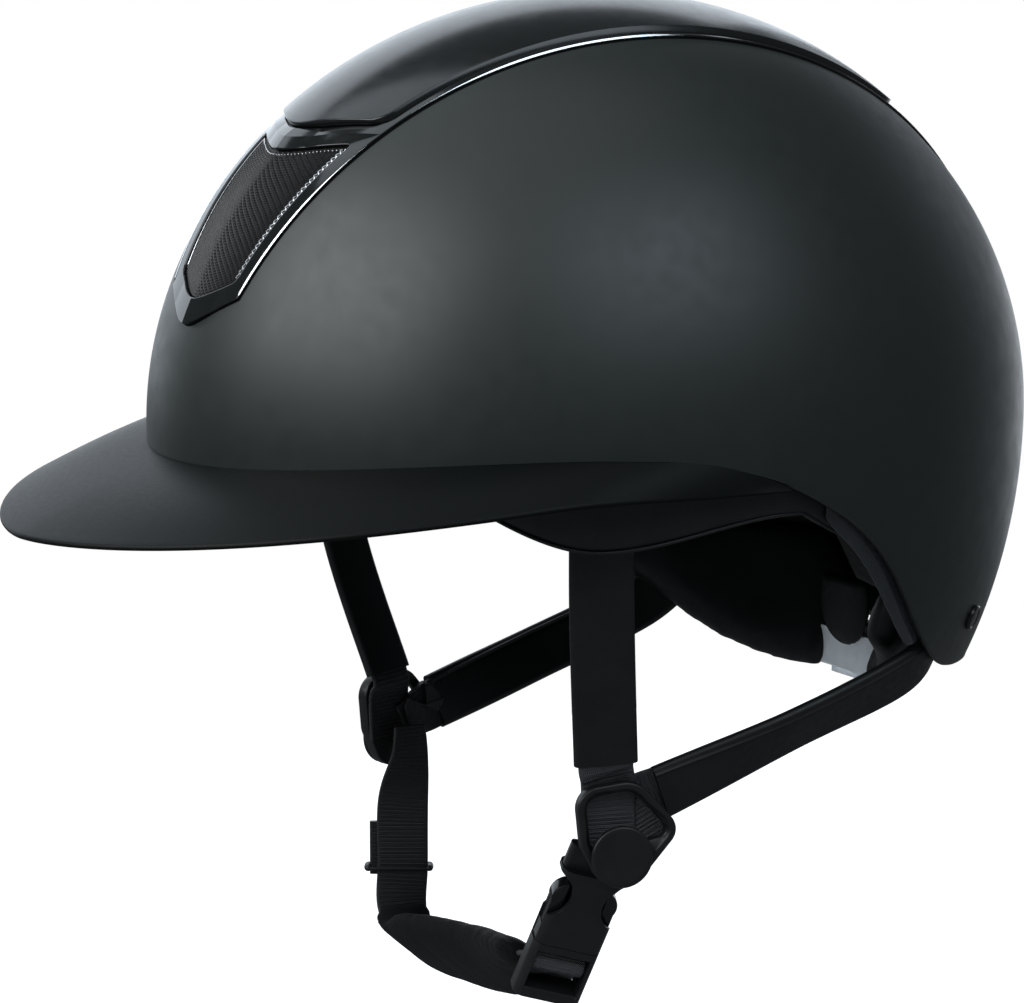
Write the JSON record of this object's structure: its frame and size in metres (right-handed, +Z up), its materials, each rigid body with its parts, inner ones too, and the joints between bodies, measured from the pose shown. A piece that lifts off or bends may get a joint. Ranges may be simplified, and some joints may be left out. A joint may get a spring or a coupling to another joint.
{
  "type": "riding helmet",
  "caption": "Riding helmet with a wide peak, a vented centre panel, a padded liner, a nape dial and a buckled chin harness.",
  "frame": {"origin": "centre of the head space, level with the shell's widest line", "axes": "+X to the wearer's left, -Y to the front, where the peak is, +Z up over the crown"},
  "size_m": [0.218, 0.3115, 0.2991],
  "materials": {
    "shell_satin": "satin charcoal, soft touch",
    "panel_gloss": "polished black",
    "mesh_weave": "fine woven black mesh",
    "impact_foam": "fine beaded black foam",
    "comfort_fabric": "brushed black knit",
    "soft_leather": "satin black leather, fine grain",
    "nape_plastic": "smooth moulded",
    "dial_plastic": "cloudy pale grey moulded",
    "rivet_black": "black, semi gloss",
    "webbing": "ribbed black webbing",
    "buckle_plastic": "moulded black, semi gloss",
    "pin_steel": "bright",
    "keeper_rubber": "matt",
    "pad_fabric": "soft wrinkled sleeve"
  },
  "bodies": {
    "helmet": {"outer_shell": "shell_satin", "peak": "shell_satin", "centre_frame": "panel_gloss", "top_cover": "panel_gloss", "arch_trim_left": "panel_gloss", "arch_trim_right": "panel_gloss", "front_mesh": "mesh_weave", "rear_mesh": "mesh_weave", "impact_liner": "impact_foam", "crown_pad": "comfort_fabric", "head_band": "comfort_fabric", "side_trim_left": "soft_leather", "side_trim_right": "soft_leather", "nape_pad_left": "soft_leather", "nape_pad_right": "soft_leather", "nape_tab": "soft_leather", "front_sleeve_left": "soft_leather", "front_sleeve_right": "soft_leather", "rear_sleeve_left": "soft_leather", "rear_sleeve_right": "soft_leather", "nape_cradle": "nape_plastic", "dial_housing": "dial_plastic", "strap_rivets": "rivet_black", "front_webbing_left": "webbing", "front_webbing_right": "webbing", "rear_webbing_left": "webbing", "rear_webbing_right": "webbing", "divider_left": "buckle_plastic", "divider_right": "buckle_plastic", "cap_left": "buckle_plastic", "cap_right": "buckle_plastic", "pivot_pins": "pin_steel"},
    "chin_loop": {"buckle_socket": "buckle_plastic", "chin_webbing": "webbing", "webbing_tail": "webbing", "chin_pad": "pad_fabric"},
    "plug": {"buckle_plug": "buckle_plastic", "chin_end": "webbing"},
    "latch_front": {"latch_arm_front": "buckle_plastic"},
    "latch_rear": {"latch_arm_rear": "buckle_plastic"},
    "keeper": {"keeper_ring": "keeper_rubber"},
    "dial": {"dial_knob": "dial_plastic", "dial_shaft": "nape_plastic"},
    "belt_left": {"belt_left": "nape_plastic"},
    "belt_right": {"belt_right": "nape_plastic"}
  },
  "joints": [
    {"name": "chin_loop_swing", "type": "hinge", "parent": "helmet", "child": "chin_loop", "pos_m": [0.07, -0.0295, -0.1145], "axis": [0.9988, 0, -0.0499], "range_deg": [-30, 30]},
    {"name": "buckle_release", "type": "slide", "parent": "chin_loop", "child": "plug", "axis": [-0.4009, -0.1604, -0.902], "range_m": [0, 0.028], "deforming": ["chin_end"]},
    {"name": "latch_front_press", "type": "hinge", "parent": "plug", "child": "latch_front", "pos_m": [0.04862, -0.04204, -0.13887], "axis": [-0.881, 0.3376, 0.3315], "range_deg": [0, 8], "stiffness_Nm_per_rad": 0.05},
    {"name": "latch_rear_press", "type": "hinge", "parent": "plug", "child": "latch_rear", "pos_m": [0.05224, -0.02868, -0.14286], "axis": [0.881, -0.3376, -0.3315], "range_deg": [0, 8], "stiffness_Nm_per_rad": 0.05},
    {"name": "keeper_slide", "type": "slide", "parent": "chin_loop", "child": "keeper", "axis": [0, 0, 1], "range_m": [-0.003, 0.01]},
    {"name": "dial_turn", "type": "hinge", "parent": "helmet", "child": "dial", "pos_m": [0, 0.095, -0.08], "axis": [0, -1, 0], "range_deg": [0, 130]},
    {"name": "belt_left_draw", "type": "slide", "parent": "helmet", "child": "belt_left", "axis": [-1, 0, 0], "range_m": [0, 0.006]},
    {"name": "belt_right_draw", "type": "slide", "parent": "helmet", "child": "belt_right", "axis": [1, 0, 0], "range_m": [0, 0.006]}
  ],
  "couplings": [
    {"joint": "belt_left_draw", "follows": "dial_turn", "m_per_rad": 0.0025},
    {"joint": "belt_right_draw", "follows": "dial_turn", "m_per_rad": 0.0025}
  ]
}
